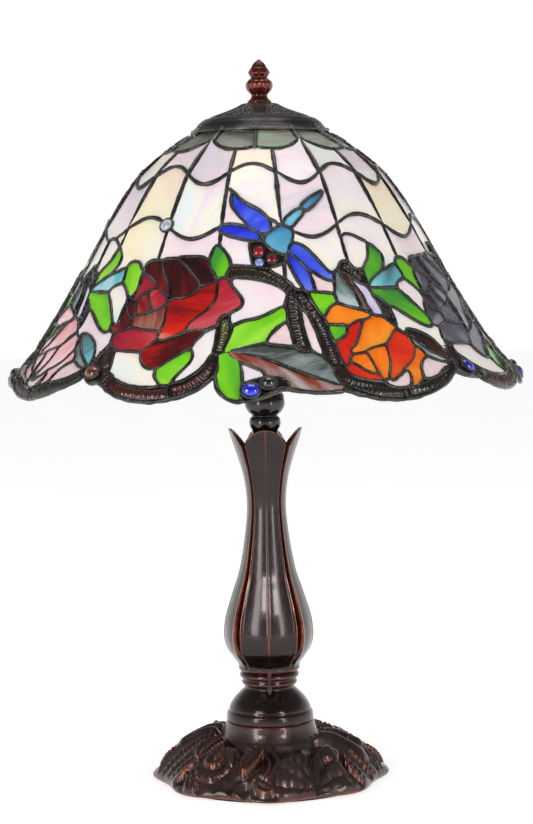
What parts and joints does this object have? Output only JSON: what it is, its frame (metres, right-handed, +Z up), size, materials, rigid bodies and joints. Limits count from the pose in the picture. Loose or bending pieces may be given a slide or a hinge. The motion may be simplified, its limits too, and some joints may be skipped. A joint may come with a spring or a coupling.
{
  "type": "stained glass table lamp",
  "caption": "Table lamp with a domed leaded glass shade of roses and lilies, a scalloped rim and a cast bronze flower stand.",
  "frame": {"origin": "on the table, under the centre of the stand", "axes": "+Z up the column, -Y towards the front, +X to the right as seen from the front"},
  "size_m": [0.4574, 0.4574, 0.6448],
  "materials": {
    "dark_bronze": "glossy dark patina with copper wear on the edges",
    "brass": "satin",
    "steel": "zinc plated",
    "iron": "rough cast",
    "felt": "matte felt",
    "rubber": "matte",
    "card": "matte",
    "black_plastic": "gloss",
    "bulb_glass": "frosted",
    "crown_glass": "rippled grey green opalescent glass",
    "opal_glass": "glossy iridescent white opalescent glass",
    "rose_glass": "streaky red opalescent glass",
    "lily_glass": "streaky orange opalescent glass",
    "solder": "lumpy solder with a glossy black patina",
    "finial": "glossy copper brown",
    "leaf_glass": "streaky lime green and turquoise opalescent glass",
    "shaded_leaf_glass": "streaky grey blue and red brown opalescent glass",
    "dusk_glass": "streaky dark purple grey opalescent glass",
    "pink_glass": "streaky pink opalescent glass",
    "wing_glass": "blue and sky blue opalescent glass",
    "ripple_glass": "dark brown and olive ripple glass",
    "jewel_glass": "glossy pressed glass jewel"
  },
  "bodies": {
    "stand": {"base_casting": "dark_bronze", "base_weight": "iron", "base_felt_pad": "felt", "cord_grommet": "rubber", "rod_washer": "steel", "rod_hex_nut": "steel", "column_casting": "dark_bronze", "neck_turning": "dark_bronze", "centre_rod": "steel", "cluster_body": "brass", "riser_rod": "brass", "riser_lock_nut": "brass", "support_nut": "brass", "socket_arm_right": "brass", "socket_cap_right": "brass", "socket_shell_right": "brass", "socket_liner_right": "card", "screw_shell_right": "brass", "socket_contact_right": "brass", "socket_arm_left": "brass", "socket_cap_left": "brass", "socket_shell_left": "brass", "socket_liner_left": "card", "screw_shell_left": "brass", "socket_contact_left": "brass"},
    "shade_carrier": {"shade_support": "brass"},
    "shade": {"shade_ring": "brass", "crown_glass": "crown_glass", "field_panel_1": "opal_glass", "field_panel_2": "opal_glass", "field_panel_3": "opal_glass", "field_panel_4": "opal_glass", "field_panel_5": "opal_glass", "field_panel_6": "opal_glass", "rose_panel_1": "rose_glass", "rose_panel_2": "rose_glass", "rose_panel_3": "rose_glass", "rose_panel_4": "rose_glass", "lily_panel_1": "lily_glass", "lily_panel_2": "lily_glass", "lily_panel_3": "lily_glass", "lily_panel_4": "lily_glass"},
    "cap": {"vase_cap": "dark_bronze"},
    "washer": {"finial_washer": "brass"},
    "finial": {"finial": "finial", "finial_insert": "brass"},
    "switch_right": {"switch_spindle_right": "brass", "switch_knob_right": "black_plastic"},
    "bulb_right": {"bulb_glass_right": "bulb_glass", "bulb_cap_right": "steel"},
    "switch_left": {"switch_spindle_left": "brass", "switch_knob_left": "black_plastic"},
    "bulb_left": {"bulb_glass_left": "bulb_glass", "bulb_cap_left": "steel"}
  },
  "joints": [
    {"name": "shade_turn", "type": "hinge", "parent": "stand", "child": "shade_carrier", "pos_m": [0, 0, 0.578], "axis": [0, 0, 1], "continuous": true},
    {"name": "shade_lift", "type": "slide", "parent": "shade_carrier", "child": "shade", "axis": [0, 0, 1], "range_m": [0, 0.26]},
    {"name": "cap_lift", "type": "slide", "parent": "shade", "child": "cap", "axis": [0, 0, 1], "range_m": [0, 0.06]},
    {"name": "finial_washer_lift", "type": "slide", "parent": "cap", "child": "washer", "axis": [0, 0, 1], "range_m": [0, 0.0075]},
    {"name": "finial_spin", "type": "hinge", "parent": "washer", "child": "finial", "pos_m": [0, 0, 0.62], "axis": [0, 0, 1], "range_deg": [0, 2880]},
    {"name": "switch_right_turn", "type": "hinge", "parent": "stand", "child": "switch_right", "pos_m": [0.026, 0, 0.39744], "axis": [0, -1, 0], "continuous": true},
    {"name": "bulb_right_out", "type": "slide", "parent": "stand", "child": "bulb_right", "axis": [0.5, 0, 0.866], "range_m": [0, 0.028]},
    {"name": "switch_left_turn", "type": "hinge", "parent": "stand", "child": "switch_left", "pos_m": [-0.026, 0, 0.39744], "axis": [0, 1, 0], "continuous": true},
    {"name": "bulb_left_out", "type": "slide", "parent": "stand", "child": "bulb_left", "axis": [-0.5, 0, 0.866], "range_m": [0, 0.028]}
  ],
  "couplings": [
    {"joint": "finial_spin", "follows": "finial_washer_lift", "rad_per_m": 6679}
  ]
}
